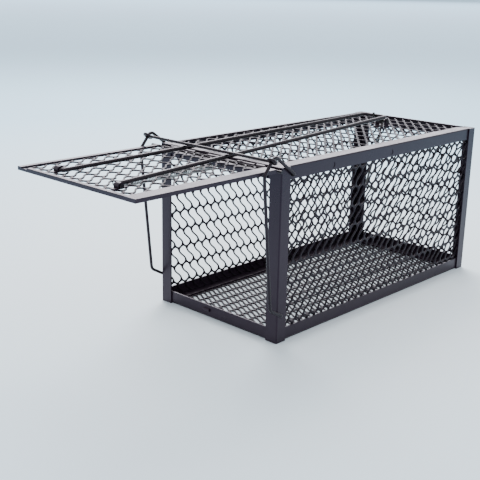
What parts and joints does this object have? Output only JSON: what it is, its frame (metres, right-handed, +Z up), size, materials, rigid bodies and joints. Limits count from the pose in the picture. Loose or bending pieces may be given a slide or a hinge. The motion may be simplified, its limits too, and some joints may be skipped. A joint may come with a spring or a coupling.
{
  "type": "live catch trap",
  "caption": "Wire mesh live catch trap in an angle frame, with a spring-loaded drop door, yoke wire, lock bar and bait hook.",
  "frame": {"origin": "middle of the cage's underside, on the surface it stands on", "axes": "+Z up, -Y towards the door end, +X to the right side of the cage seen from the door end"},
  "size_m": [0.1279, 0.3583, 0.1316],
  "materials": {
    "frame_paint": "semi-gloss charcoal paint",
    "mesh_paint": "satin black dipped paint",
    "dark_wire": "glossy black dipped wire",
    "trigger_wire": "drawn steel wire",
    "spring_steel": "oiled spring wire"
  },
  "bodies": {
    "cage": {"post_front_left": "frame_paint", "post_front_right": "frame_paint", "post_rear_left": "frame_paint", "post_rear_right": "frame_paint", "top_rail_left": "frame_paint", "top_rail_right": "frame_paint", "top_rail_front": "frame_paint", "top_rail_rear": "frame_paint", "base_rail_left": "frame_paint", "base_rail_right": "frame_paint", "base_rail_front": "frame_paint", "base_rail_rear": "frame_paint", "door_stop": "frame_paint", "mesh_left": "mesh_paint", "mesh_right": "mesh_paint", "mesh_rear": "mesh_paint", "mesh_top": "mesh_paint", "mesh_floor": "mesh_paint", "hinge_rod": "dark_wire", "hinge_strap_left": "frame_paint", "hinge_strap_right": "frame_paint", "guide_wire_left": "dark_wire", "guide_wire_right": "dark_wire", "trigger_bracket": "frame_paint", "trigger_pin": "trigger_wire"},
    "door": {"door_rail_left": "frame_paint", "door_rail_right": "frame_paint", "door_rail_end": "frame_paint", "door_mesh": "mesh_paint", "door_hinge_leaf": "frame_paint", "yoke_staple_left": "frame_paint", "yoke_staple_right": "frame_paint", "closing_spring": "spring_steel"},
    "yoke": {"trigger_yoke": "dark_wire"},
    "lock_bar": {"lock_bar": "dark_wire"},
    "trigger": {"bait_hook": "trigger_wire"}
  },
  "joints": [
    {"name": "door_hinge", "type": "hinge", "parent": "cage", "child": "door", "pos_m": [0, -0.1213, 0.1176], "axis": [1, 0, 0], "range_deg": [0, 90], "deforming": ["closing_spring"]},
    {"name": "yoke_pivot", "type": "hinge", "parent": "door", "child": "yoke", "pos_m": [0, -0.2273, 0.12035], "axis": [1, 0, 0], "range_deg": [0, 170]},
    {"name": "lock_bar_drop", "type": "slide", "parent": "cage", "child": "lock_bar", "axis": [0, -0.6288, -0.7776], "range_m": [0, 0.0072]},
    {"name": "trigger_pivot", "type": "hinge", "parent": "cage", "child": "trigger", "pos_m": [0, 0.07, 0.1238], "axis": [1, 0, 0], "range_deg": [0, 20]}
  ],
  "couplings": [
    {"joint": "lock_bar_drop", "follows": "door_hinge", "m_per_rad": 0.00458}
  ]
}
